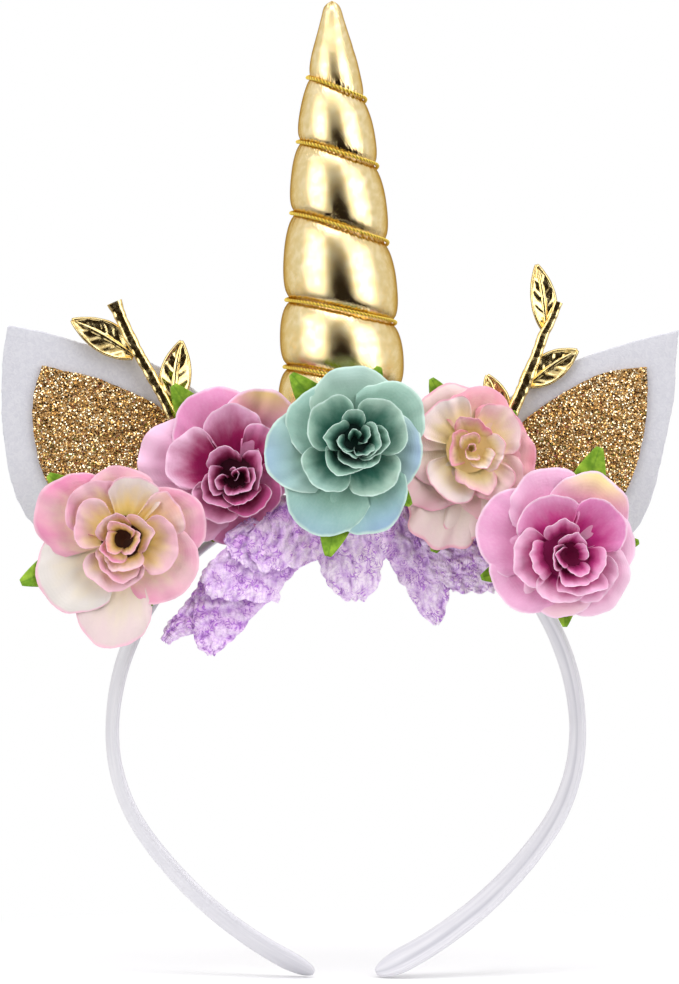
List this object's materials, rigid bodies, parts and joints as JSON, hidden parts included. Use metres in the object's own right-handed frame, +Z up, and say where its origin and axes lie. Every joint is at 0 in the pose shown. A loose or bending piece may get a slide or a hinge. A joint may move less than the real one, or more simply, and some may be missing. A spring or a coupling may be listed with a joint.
{
  "type": "costume headband",
  "caption": "Unicorn costume headband with a stuffed spiral horn, felt ears, cloth roses, gilt sprigs and lilac lace.",
  "frame": {"origin": "middle of the band's inner face at the top of the hoop, where it rests on the crown of the head", "axes": "+Z up through the horn, -Y to the front where the roses face, +X to the right of somebody who looks at the front"},
  "size_m": [0.176, 0.0516, 0.2538],
  "materials": {
    "satin": "white satin wrapped over a plastic hoop",
    "gold_lame": "shiny gold foil cloth with a fine weave",
    "gold_cord": "twisted gold thread",
    "felt": "matt white felt",
    "glitter": "gold glitter sheet",
    "gilt": "mirror-like gold plating on moulded plastic",
    "petal_cream": "printed cloth, cream with pink edges",
    "petal_magenta": "printed cloth, pink lilac with a dark magenta heart",
    "petal_mint": "printed cloth, dusty teal with periwinkle edges",
    "petal_blush": "printed cloth, cream and pale pink",
    "petal_orchid": "printed cloth, orchid pink with deep folds",
    "leaf_green": "ribbed green cloth leaves on a moulded stub",
    "lace": "lilac lace"
  },
  "bodies": {
    "root": {"band": "satin", "horn": "gold_lame", "horn_cord": "gold_cord", "ear_left": "felt", "ear_left_glitter": "glitter", "ear_right": "felt", "ear_right_glitter": "glitter", "sprig_left": "gilt", "sprig_right": "gilt", "rose_1_outer": "petal_cream", "rose_1_inner": "petal_cream", "rose_1_heart": "petal_cream", "rose_1_calyx": "leaf_green", "rose_1_stem": "leaf_green", "rose_2_outer": "petal_magenta", "rose_2_inner": "petal_magenta", "rose_2_heart": "petal_magenta", "rose_2_calyx": "leaf_green", "rose_2_stem": "leaf_green", "rose_3_outer": "petal_mint", "rose_3_inner": "petal_mint", "rose_3_heart": "petal_mint", "rose_3_calyx": "leaf_green", "rose_3_stem": "leaf_green", "rose_4_outer": "petal_blush", "rose_4_inner": "petal_blush", "rose_4_heart": "petal_blush", "rose_4_calyx": "leaf_green", "rose_4_stem": "leaf_green", "rose_5_outer": "petal_orchid", "rose_5_inner": "petal_orchid", "rose_5_heart": "petal_orchid", "rose_5_calyx": "leaf_green", "rose_5_stem": "leaf_green", "lace_left": "lace", "lace_middle": "lace", "lace_right": "lace"}
  },
  "joints": []
}
